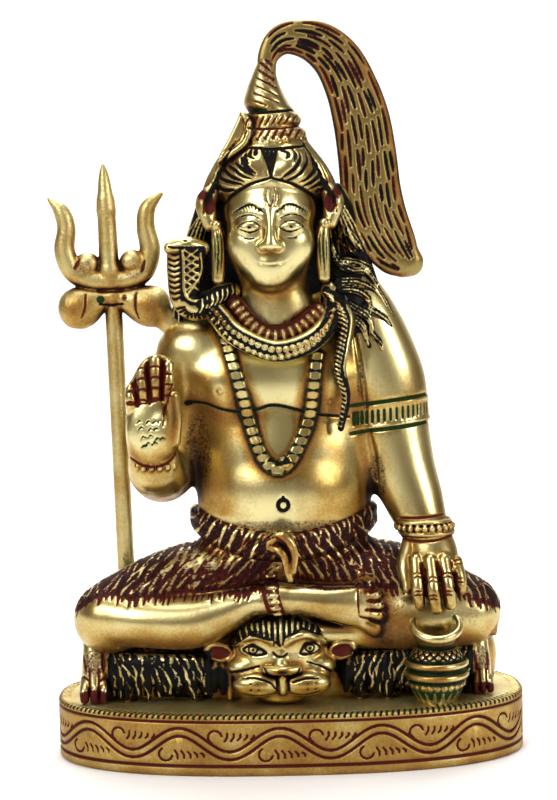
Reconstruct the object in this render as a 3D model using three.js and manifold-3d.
// A cross-legged deity seated on a tiger skin, cast in brass in one piece with its oval plinth, trident,
// water pot and the jet of water that springs from its topknot. Lengths are in millimetres, +Z is up,
// the figure faces -Y, and the origin is the centre of the plinth's underside.
import * as THREE from "three";
import { mergeVertices } from "three/addons/utils/BufferGeometryUtils.js";
import Module from "manifold-3d";

// Driving sizes.
const FIGURE_HEIGHT = 220.7; // from the top of the plinth to the crown of the water jet
const PLINTH_HEIGHT = 19.3;
const PLINTH_MARGIN_X = 6.6; // plinth left free beside each knee
const PLINTH_MARGIN_Y = 4.5; // plinth left free before and behind the seat
const PLINTH_EDGE = 1.3; // rounding of the plinth's upper and lower edge
const SHAFT_RADIUS = 3; // trident
const PRONG_RADIUS = 2.4;
const DRUM_RADIUS = 6.6; // each head of the hourglass drum on the trident
const POT_RADIUS = 9.3;
const POT_HEIGHT = 24.6;
const POT_MOUTH_RADIUS = 7.4;
const POT_WALL = 1.6; // lip of the pot round its shallow mouth
const SNAKE_RADIUS = 2.7;
const BEAD_RADIUS = 2.1; // long string of beads
const COLLAR_RADIUS = 3;
const KNOT_BEAD_RADIUS = 1.7; // the two strings round the topknot
const JET_THICKNESS = 6.4;
const BAND_THICKNESS = 1.5; // armlet, bracelets and anklet stand this far proud
const FINGER_RADIUS = 2.3;

// The free form is drawn at a height of 220.7 and keeps its proportions at any other.
const DRAWN_HEIGHT = 220.7;
const UNIT = FIGURE_HEIGHT / DRAWN_HEIGHT;
const KNEE_SPAN = 70.6; // drawn, from the middle to the outside of a knee
const SEAT_DEPTH = 33; // drawn, from the middle to the front of the tiger's muzzle
const PLINTH_POWER = 2.45; // superellipse: 2 is an oval, more is squarer
const SINK = 1; // how deep the forms that stand on the plinth run into it

// A limb's round end: one smaller ring and a tip, as shares of the limb's smaller half-width.
const END_RING = 0.62;
const END_RING_SIZE = 0.72;
const END_TIP = 0.98;

const wasm = await Module();
wasm.setup();

const v = (x, y, z) => new THREE.Vector3(x, y, z);
// A drawn point, measured from the middle of the plinth's top.
const at = (x, y, z) => v(x * UNIT, y * UNIT, z * UNIT + PLINTH_HEIGHT);
const circle = (count, point) => Array.from({ length: count }, (_, i) => point((2 * Math.PI * i) / count));

function solid(geometry) {
  const bare = geometry.clone();
  bare.deleteAttribute("normal");
  bare.deleteAttribute("uv");
  const merged = mergeVertices(bare, 1e-4);
  return new wasm.Manifold(
    new wasm.Mesh({
      numProp: 3,
      vertProperties: merged.attributes.position.array,
      triVerts: new Uint32Array(merged.index.array),
    }),
  );
}

// Closed skin over rings that all have the same number of points: a loop, or a run that ends in two tips.
function loft(rings, { closed = false, tips } = {}) {
  const count = rings[0].length;
  const middle = (ring) => ring.reduce((sum, p) => sum.add(p), v(0, 0, 0)).divideScalar(count);
  const [start, end] = tips ?? [middle(rings[0]), middle(rings.at(-1))];
  const points = closed ? rings.flat() : [...rings.flat(), start, end];
  const spans = closed ? rings.length : rings.length - 1;
  const index = [];
  for (let r = 0; r < spans; r++) {
    const next = ((r + 1) % rings.length) * count;
    for (let i = 0; i < count; i++) {
      const j = (i + 1) % count;
      index.push(r * count + i, r * count + j, next + j, r * count + i, next + j, next + i);
    }
  }
  for (let i = 0; i < count && !closed; i++) {
    const j = (i + 1) % count;
    index.push(rings.length * count, j, i);
    index.push(rings.length * count + 1, spans * count + i, spans * count + j);
  }
  const geometry = new THREE.BufferGeometry().setFromPoints(points).setIndex(index);
  const made = solid(geometry);
  return made.volume() > 0 ? made : solid(geometry.setIndex(index.reverse()));
}

// A limb through stations [x, y, z, half-width in the picture plane, half-depth], with round or flat ends.
function limb(stations, sides, options = {}) {
  const { steps, round = true, closed = false, facing = v(0, -1, 0), shape = () => 1 } = options;
  const path = new THREE.CatmullRomCurve3(stations.map(([x, y, z]) => at(x, y, z)), closed);
  const spans = closed ? stations.length : stations.length - 1;
  const count = steps ?? spans;
  const sample = (t, column) => {
    const i = Math.min(Math.floor(t * spans), spans - 1);
    const next = stations[(i + 1) % stations.length];
    return THREE.MathUtils.lerp(stations[i][column], next[column], t * spans - i) * UNIT;
  };
  const centre = (t, along) =>
    path.getPoint(t).addScaledVector(path.getTangent(t), along * Math.min(sample(t, 3), sample(t, 4)));
  const ring = (t, along = 0, share = 1) => {
    const tangent = path.getTangent(t);
    const depth = facing.clone().addScaledVector(tangent, -facing.dot(tangent)).normalize();
    const width = tangent.clone().cross(depth);
    return circle(sides, (angle) => {
      const turn = angle + Math.PI / sides;
      const swell = share * shape(t, turn);
      return centre(t, along)
        .addScaledVector(width, Math.cos(turn) * sample(t, 3) * swell)
        .addScaledVector(depth, Math.sin(turn) * sample(t, 4) * swell);
    });
  };
  const rings = Array.from({ length: closed ? count : count + 1 }, (_, i) => ring(i / count));
  if (closed || !round) return loft(rings, { closed });
  const capped = [ring(0, -END_RING, END_RING_SIZE), ...rings, ring(1, END_RING, END_RING_SIZE)];
  return loft(capped, { tips: [centre(0, -END_TIP), centre(1, END_TIP)] });
}

// Level ovals [z, x, y, half-width, half-depth, rise of both sides] skinned into one trunk.
function trunk(ovals, sides) {
  const oval = ([z, x, y, a, b, rise = 0]) =>
    circle(sides, (t) => at(x + a * Math.cos(t), y + b * Math.sin(t), z + rise * Math.cos(t) ** 2));
  return loft(ovals.map(oval));
}

// An ellipsoid with drawn radii, turned in the picture plane.
function ball([x, y, z], [a, b, c], [around, down] = [6, 4], turn = 0) {
  const geometry = new THREE.SphereGeometry(1, around, down).rotateX(Math.PI / 2);
  geometry.scale(a * UNIT, b * UNIT, c * UNIT).rotateY(-turn);
  const centre = at(x, y, z);
  return solid(geometry.translate(centre.x, centre.y, centre.z));
}

function turned(profile, segments, centre) {
  const points = profile.map(([r, z]) => new THREE.Vector2(r, z));
  const geometry = new THREE.LatheGeometry(points, segments).rotateX(Math.PI / 2);
  return solid(geometry.translate(centre.x, centre.y, centre.z));
}

// Stations along a drawn line with one real radius for all of them.
const cord = (points, radius) => points.map((point) => [...point, radius / UNIT, radius / UNIT]);

function plinth() {
  const [a, b] = [KNEE_SPAN * UNIT + PLINTH_MARGIN_X, SEAT_DEPTH * UNIT + PLINTH_MARGIN_Y];
  const bend = (share, half) => Math.sign(share) * Math.abs(share) ** (2 / PLINTH_POWER) * half;
  const outline = (inset, z) =>
    circle(36, (t) => v(bend(Math.cos(t), a - inset), bend(Math.sin(t), b - inset), z));
  return [
    loft([
      outline(PLINTH_EDGE, 0),
      outline(0, PLINTH_EDGE),
      outline(0, PLINTH_HEIGHT - PLINTH_EDGE),
      outline(PLINTH_EDGE, PLINTH_HEIGHT),
    ]),
  ];
}

// Trunk of the body with the fur belt that rises to both hips.
function torso() {
  const ovals = [
    [22, -1, 2, 33, 17],
    [42, -1, 2, 28.6, 17.6, 5],
    [46, -1, 1, 30.4, 20.8, 6],
    [53, -1, 1, 30.4, 21.6, 6.6],
    [55.4, -1, 1, 28, 19.4, 7],
    [68, -1, 0, 28.6, 18.8],
    [80, -1.8, 0, 28.8, 16.8],
    [94, -2.2, 1, 29.4, 15],
    [105, -1.5, 1, 31.5, 14.6],
    [114, -0.5, 1, 33, 13.6],
    [121, -0.5, 1, 26, 12],
    [127, -2, 0, 16, 11],
    [142, -2.5, 0, 12.5, 10.4],
  ];
  const chest = [-1, 1].map((side) => ball([-2.5 + side * 14, -9.5, 102.5], [12.4, 8.6, 10.5], [8, 5]));
  return [trunk(ovals, 14), ...chest];
}

function head() {
  const [x, z] = [-3.5, 152];
  const features = [-1, 1].flatMap((side) => [
    ball([x + side * 6.7, -15, 154.6], [3.6, 3, 1.8], [6, 3]),
    limb([[x + side * 1.6, -16.4, 158.2, 1.4, 2.6], [x + side * 7, -15.2, 160.4, 1.4, 2.8],
      [x + side * 13, -10.4, 158, 1.2, 2.6]], 4, { round: false }),
    ball([x + side * 17.2, -4, 159.5], [5, 3.6, 5.4], [6, 4], side * 0.15),
    limb([[x + side * 16.4, -6, 158, 2.4, 2.8], [x + side * 16.4, -6, 146, 2.8, 3],
      [x + side * 17, -5, 136, 3.4, 3.4]], 4, { round: false }),
  ]);
  return [
    ball([x, -2.5, z], [16, 16.5, 19], [14, 8]),
    ball([x, -8, 141], [11, 9.5, 8.5], [8, 5]),
    limb([[x, -15.6, 160, 1.8, 2.6], [x, -18, 152.5, 2.2, 3], [x, -19, 148.8, 3, 3.2]], 4),
    ball([x, -15.6, 141.6], [5, 3.8, 1.8], [6, 3]),
    ball([x, -14, 136.4], [5, 4, 3.8]),
    ...features,
  ];
}

// Combed hair over the skull, the mantle of hair on the shoulders and the locks along its edges.
function hair() {
  const combed = [
    [82, -2, 10, 16, 6],
    [100, 0, 9.5, 32, 8.6],
    [113, 1, 8, 38, 9.8],
    [128, 0.8, 6.6, 33.6, 11],
    [143, -1.4, 6, 27.6, 12.8],
    [156, -3, 4.4, 24.6, 15],
    [167, -3.7, 0.6, 21.2, 17.4],
    [177, -3.9, 0.6, 15.6, 14.6],
    [185, -3, 1, 9.6, 9.8],
  ];
  const locks = [
    [[18, -4, 163], [25, -1, 147], [32, 1, 133], [41.6, 1, 113.5]],
    [[17.5, -7, 152], [24, -6, 140], [30, -5.5, 130], [35.6, -4.5, 120]],
    [[17, -7.5, 142], [23, -9, 131.5], [30, -12, 112.5]],
    [[-22.5, -3, 162], [-29, 1.5, 144], [-36.6, 3, 123]],
  ];
  const thinning = (points) => points.map(([x, y, z], i) => [x, y, z, 4 - 0.6 * i, 3.8 - 0.55 * i]);
  return [trunk(combed, 12), ...locks.map((points) => limb(thinning(points), 4))];
}

// The topknot with its two strings of beads, and the crescent moon against it.
function topknot() {
  const cone = [
    [178, -2.6, 0, 11.5, 11],
    [186, -1.4, 0, 8.6, 8.8],
    [195, -4, 0, 6.2, 6.4],
    [201, -4.6, 0, 4.2, 4.8],
    [207, -3.6, 0, 3, 3.6],
  ];
  const string = (z, x, radius) =>
    limb(cord(circle(8, (t) => [x + radius * Math.cos(t), radius * Math.sin(t), z]), KNOT_BEAD_RADIUS), 4, {
      closed: true,
      facing: v(0, 0, 1),
    });
  const moon = [-1, 1].map((side) =>
    circle(12, (t) => {
      const outer = Math.cos(t) < 0;
      const [x, z] = [Math.cos(t) * (outer ? 6 : 1.6) + 2.4 * Math.sin(t) ** 2, 7.6 * Math.sin(t)];
      return at(-13.4 + x + 0.28 * z, -6 + 1.7 * side, 182.2 + z);
    }),
  );
  return [trunk(cone, 10), string(181.4, -1.2, 10), string(187.6, -1.6, 8.2), loft(moon)];
}

// The jet of water: a flat band that springs up, turns over and falls beside the head.
function jet() {
  const spine = [
    [-3.6, 203, 3], [-3, 208.4, 3.2], [0.4, 213, 4.4], [5.8, 214.8, 5.9], [13.2, 212.7, 6.9],
    [19.6, 206.6, 7.9], [24.2, 197, 8.6], [27, 187, 9.3], [28.6, 176, 9.6], [29.6, 165.2, 9.8],
    [31.2, 156.6, 9.9], [34.2, 149, 9], [38.2, 142.8, 6.6], [42.2, 138.2, 3.4],
  ];
  const half = JET_THICKNESS / 2 / UNIT;
  return [limb(spine.map(([x, z, width]) => [x, 0.5, z, width, Math.min(half, width)]), 8)];
}

function snake() {
  const radius = SNAKE_RADIUS / UNIT;
  const coil = [
    [-23, -8.5, 127], [-14, -14.6, 117.5], [-3.2, -17.4, 112.6], [7.5, -16.2, 115], [14.5, -11.5, 122],
    [16.4, -3, 131],
  ];
  const tail = [
    [15.6, -6, 131.5], [20, -11, 122], [17.8, -15.6, 110.5], [20.4, -15.8, 97], [17.8, -15.4, 87],
  ];
  const hood = [
    [-21, -8.5, 129, 3, 3], [-26, -9.4, 125.8, 3.6, 3], [-31.3, -9.4, 129, 5, 3.3],
    [-30.6, -9.4, 137, 6.6, 3.3], [-30.6, -9.4, 147, 5, 3.5],
  ];
  const snout = [
    [-26.5, -11, 147.4, 2.6, 3.6], [-31.5, -12, 147.6, 2.6, 3.8], [-36.4, -12.6, 147.4, 1.8, 2.4],
  ];
  const thinning = tail.map((point, i) => [...point, radius * (1.15 - 0.2 * i), radius * (1.1 - 0.15 * i)]);
  return [
    limb(cord(coil, SNAKE_RADIUS), 5, { steps: 8, facing: v(0, 0, 1) }),
    limb(thinning, 4),
    limb(hood, 6),
    limb(snout, 6, { round: false }),
  ];
}

// The collar of thick beads and the long string of round ones.
function necklaces() {
  const collar = [
    [-17, -2, 131.5], [-15.2, -7.5, 127.5], [-9.6, -12.4, 120.6], [-3, -14, 117.6], [4.6, -13, 119.8],
    [11.6, -8.5, 125.4], [13.5, -2, 130.5],
  ];
  const mala = [
    [-20, -10, 122], [-18, -13.4, 114.6], [-14, -15.8, 100], [-11.3, -15.8, 88.4], [-7.9, -16.6, 79.6],
    [-3.2, -17.2, 75.2], [1.6, -16.8, 79], [6.6, -15.8, 88], [9, -15.7, 100], [11.4, -14, 114],
  ];
  return [
    limb(cord(collar, COLLAR_RADIUS), 5),
    limb(cord(mala, BEAD_RADIUS), 4),
  ];
}

// Fingers given by root, joint and tip, and a thickness next to the others'.
const fingers = (rows) =>
  rows.map(([root, joint, tip, share]) => limb(cord([root, joint, tip], FINGER_RADIUS * share), 4));

// A limb's stations where a raised band runs round it from one station to another.
function band(from, to) {
  const inside = (near, far) => near.map((value, i) => value + (far[i] - value) * 0.08);
  const proud = ([x, y, z, a, b]) => [x, y, z, a + BAND_THICKNESS / UNIT, b + BAND_THICKNESS / UNIT];
  return [from, proud(inside(from, to)), proud(inside(to, from)), to];
}

// The arm on the drawing's left bends up and shows its open palm.
function raisedArm() {
  const upper = [
    [-31, 1.5, 112, 11, 9.8], [-34.5, 1, 101, 10, 9], [-38, -1, 88, 9.4, 9], [-41, -4, 74, 9.8, 9.6],
  ];
  const lower = [[-40.5, -5, 73.6, 9.6, 9.4], [-41.6, -12, 74.6, 9.4, 8.4], [-42, -18, 78, 8.4, 6.4]];
  const palm = [
    ...band([-42, -16.4, 74.6, 8.6, 6.6], [-42.2, -19, 79, 8, 5.6]),
    [-42.6, -21, 87, 8.6, 4.4], [-42.6, -22, 97, 8.2, 3.6],
  ];
  return [
    limb(upper, 8),
    limb(lower, 8, { facing: v(0, 0, 1) }),
    limb(palm, 6, { facing: v(0, -1, 0.4) }),
    ...fingers([
      [[-48.6, -22.5, 93], [-49.2, -24, 100], [-48.4, -24, 104.5], 0.9],
      [[-45, -22.5, 95], [-45.6, -24.2, 104], [-44.6, -24.2, 109.2], 1],
      [[-41, -22.5, 95], [-41.2, -24.2, 106], [-39.6, -24.2, 112], 1.05],
      [[-37.2, -22.5, 95], [-36.8, -24, 105], [-36.6, -23.6, 110.4], 0.95],
      [[-36.4, -23, 83], [-35.4, -25.2, 92], [-35, -25.2, 99.4], 1],
    ]),
  ];
}

// The arm on the drawing's right hangs down and rests its fingers on the pot.
function restingArm() {
  const arm = [
    [30, 1.5, 109, 13.5, 10.8], ...band([33.4, 0.9, 94.5, 13.1, 10.8], [34.4, 0.6, 88.5, 12.8, 10.6]),
    [38, -2, 74.5, 11, 9.6], [41.8, -5, 63, 9.8, 8.6],
    ...band([43.8, -7.6, 56.6, 8.5, 7.6], [45.4, -9.6, 52.6, 7.9, 7.1]), [47.2, -13, 46.5, 7.7, 6],
  ];
  return [
    limb(arm, 8),
    limb([[47, -13, 47, 7.8, 6.2], [47, -18, 42, 8.6, 5]], 8),
    ...fingers([
      [[40.8, -18, 41], [40.2, -23, 36], [40.8, -24.6, 30.5], 1],
      [[45, -18.5, 41], [45.6, -24, 35.5], [46.2, -25, 29], 1.05],
      [[49.2, -18.5, 41.5], [50, -23.6, 36], [50.4, -24.4, 30], 1],
      [[53, -17, 42], [54.2, -21, 39], [54.6, -22.4, 35], 0.9],
      [[41, -13, 45], [38, -16.4, 40], [37.6, -18, 34.6], 0.9],
    ]),
  ];
}

// Thighs, folded shins, feet with their toes, and the anklet.
function legs() {
  const shin = [
    [-59, -11, 28, 9.4, 10], [-46, -15, 27, 8.9, 9], [-32, -17.4, 26.4, 9, 8], [-23, -18.4, 28.4, 7.4, 6.6],
    [-13, -19.2, 32.4, 5.2, 5.2], ...band([-7, -19.8, 33.4, 5, 5.1], [-3.4, -20, 34, 4.9, 5]),
  ];
  const tucked = [
    [58, -9, 26, 10.6, 11], [45, -13, 25.4, 10.6, 9], [31, -15, 24.6, 8.8, 7.6], [20, -16.6, 22, 5.2, 5],
    [11, -17, 22, 4, 4],
  ];
  const thighs = [
    [[-14, 2, 38, 13, 16], [-33, -1, 35.5, 13.5, 15], [-50, -5, 29, 13, 14], [-59, -8, 25.5, 11.6, 12]],
    [[12, 2, 38, 13, 16], [33, -1, 34.5, 13.5, 15], [50, -5, 28.4, 12.6, 14], [58.4, -7, 25.4, 11.4, 12]],
  ];
  const foot = [
    [-3, -20, 34, 5, 5], [9, -20.6, 32.4, 5.8, 4.8], [19, -20.4, 31.4, 6.6, 4.2], [24, -20, 31, 7.2, 3.6],
  ];
  const toes = [
    [24.6, -20, 38, 2.2], [26.2, -20.6, 35.2, 2.2], [27, -21, 32.4, 2.3], [27.3, -21, 29.4, 2.5],
  ];
  return [
    ...thighs.map((thigh) => limb(thigh, 8)),
    limb(shin, 8),
    limb(foot, 6),
    ball([26.6, -20.4, 24.8], [3, 3, 4]),
    ...toes.map(([x, y, z, r]) => ball([x, y, z], [r * 1.3, r, r * 0.8], [5, 3], -0.25)),
    limb(tucked, 6),
  ];
}

// The knot of the fur belt, and the fur's ragged hem over both thighs.
function fur() {
  const hem = [[18, -14.5, 43, 7.6, 5], [35, -14.5, 39.6, 7.2, 5.6], [52, -14, 33.6, 6.4, 5]];
  const ragged = { steps: 6, shape: (t) => 1 + 0.14 * Math.cos(6 * Math.PI * t) };
  const hems = [-1, 1].map((side) => limb(hem.map(([x, ...rest]) => [side * x, ...rest]), 4, ragged));
  const knot = [
    [-4.8, -19.6, 52.4, 2, 2.8], [0.6, -21.6, 51.4, 2.6, 3], [4.6, -20.8, 47.4, 2.5, 3],
    [4.4, -20, 41, 1.6, 2.8],
  ];
  return [limb(knot, 4, { round: false }), ...hems];
}

// The tiger skin: head under the shins, fringe beside it, flanks over the plinth and two paws.
function tigerSkin() {
  const [x, z] = [-3.4, 13.6];
  const fringe = (from, to, tufts) =>
    limb([[from, -14.4, 8, 9.8, 6], [(from + to) / 2, -14.8, 7.6, 9.6, 6.2], [to, -14.4, 7.6, 9.6, 6]], 4, {
      steps: tufts * 2,
      shape: (t) => 1 + 0.1 * Math.cos(2 * Math.PI * tufts * t),
      round: false,
    });
  const paw = (px, py) => {
    const leg = [[px, py + 8, 14, 5.4, 9], [px, py + 3, 7, 5.4, 7.4], [px, py, -SINK, 5.8, 6]];
    const toes = [-1, 0, 1].map((k) => ball([px + k * 3.7, py - 4, 2], [2.4, 3.8, 3.6], [5, 3]));
    return [limb(leg, 6, { round: false }), ...toes];
  };
  const sides = [-1, 1].flatMap((side) => [
    limb([[x + side * 1, -27, z + 7.4, 1.8, 3.4], [x + side * 8, -26, z + 10, 2, 3.6],
      [x + side * 14.4, -20, z + 6.8, 1.6, 3.4]], 4, { round: false }),
    ball([x + side * 8.6, -25.6, z + 5.2], [4, 3.4, 2.6], [6, 3], -side * 0.1),
    ball([x + side * 6.4, -26.4, 4.4], [8, 6.4, 6.4], [8, 5], side * 0.12),
    ball([x + side * 16.8, -18.6, 15.6], [6.6, 4, 3.4], [6, 4], side * 0.5),
  ]);
  return [
    trunk([[-SINK, 0, 3, 69, 17], [14, 0, 3, 70.4, 17], [23, 0, 2, 68, 15], [32, 0, 2, 58, 10]], 14),
    ball([x, -17, z], [15.4, 12.6, 14.8], [10, 6]),
    limb([[x - 4.8, -29, 13.6, 1.7, 3], [x, -30, 13.6, 2.1, 3.2], [x + 4.8, -29, 13.6, 1.7, 3]], 4, {
      round: false,
    }),
    limb([[x, -29.8, 13.6, 2, 3.2], [x, -30, 8, 1.9, 3], [x, -29, 2, 1.6, 3]], 4, { round: false }),
    ...sides,
    fringe(-57, -12, 6),
    fringe(7, 39.5, 4),
    ...paw(-64.2, -11),
    ...paw(62.2, -8.6),
  ];
}

// The water pot: foot, round body with a raised band, neck, and a flared lip round a shallow mouth.
function pot() {
  const [r, h, mouth] = [POT_RADIUS, POT_HEIGHT, POT_MOUTH_RADIUS];
  const profile = [
    [0, -SINK], [r * 0.8, -SINK], [r * 0.82, h * 0.06], [r * 0.72, h * 0.12], [r * 0.95, h * 0.26],
    [r, h * 0.42], [r, h * 0.5], [r * 0.86, h * 0.66], [r * 0.59, h * 0.8], [mouth, h * 0.93],
    [mouth, h], [mouth - POT_WALL, h], [0, h - POT_WALL * 1.6],
  ];
  return [turned(profile, 10, at(46.8, -23, 0))];
}

// Three prongs on rounded knobs, the hourglass drum tied below them, and the shaft down behind the knee.
function trident() {
  const [shaft, drum] = [SHAFT_RADIUS / UNIT, DRUM_RADIUS / UNIT];
  const y = 4;
  const right = [[-45.6, 138.5], [-43, 143], [-43.4, 149], [-45.6, 156], [-44.2, 162], [-40, 165]];
  const left = [[-69, 138.5], [-71.2, 143], [-70.8, 151], [-70.8, 157.6], [-75, 164.6]];
  const prong = (points) => limb(cord(points.map(([px, pz]) => [px, y, pz]), PRONG_RADIUS), 4);
  const bell = (rows) => limb(rows.map(([px, pz, share]) => [px, y, pz, drum * share, drum * share]), 8);
  return [
    limb([[-53.6, y + 3, 3, shaft * 0.92, shaft * 0.92], [-54.2, y + 1, 55, shaft * 0.92, shaft * 0.92],
      [-56, y, 128, shaft * 1.08, shaft * 1.08]], 8),
    limb([[-56.3, y, 126, 3.7, 3.7], [-56.7, y, 138, 3.4, 3.6]], 8, { round: false }),
    limb([[-57, y, 140, 3.4, 3.2], [-57.3, y, 152, 2.8, 2.4], [-57.9, y, 173.4, 1.7, 1.7]], 6),
    prong(right),
    prong(left),
    ball([-64.4, y, 141.2], [5.4, 4, 4.8], [6, 4]),
    ball([-49.2, y, 141.8], [5.4, 4, 4.8], [6, 4]),
    bell([[-68.8, 127.6, 1], [-64.5, 129.4, 0.7], [-58, 131, 0.42]]),
    bell([[-55, 131, 0.42], [-47.6, 129.6, 0.7], [-42.4, 128, 1]]),
    limb([[-42, y, 127, 3, 3.2], [-36, 3, 121, 3.6, 3.4], [-32, 3, 117, 3.8, 3.4]], 6),
  ];
}

// Everything is one pour of brass, so the forms are joined into a single solid.
function cast(forms) {
  const joined = wasm.Manifold.union(forms).getMesh();
  const geometry = new THREE.BufferGeometry();
  geometry.setAttribute("position", new THREE.BufferAttribute(joined.vertProperties, 3));
  geometry.setIndex(new THREE.BufferAttribute(joined.triVerts, 1));
  geometry.computeVertexNormals();
  return geometry;
}

const brass = new THREE.MeshStandardMaterial({ color: 0xb08d3e, roughness: 0.35, metalness: 1 });
const figure = new THREE.Mesh(
  cast([
    ...plinth(),
    ...tigerSkin(),
    ...legs(),
    ...fur(),
    ...torso(),
    ...necklaces(),
    ...snake(),
    ...raisedArm(),
    ...restingArm(),
    ...head(),
    ...hair(),
    ...topknot(),
    ...jet(),
    ...pot(),
    ...trident(),
  ]),
  brass,
);
figure.name = "seated_figure";

const part = new THREE.Group();
part.add(figure);
export default part;
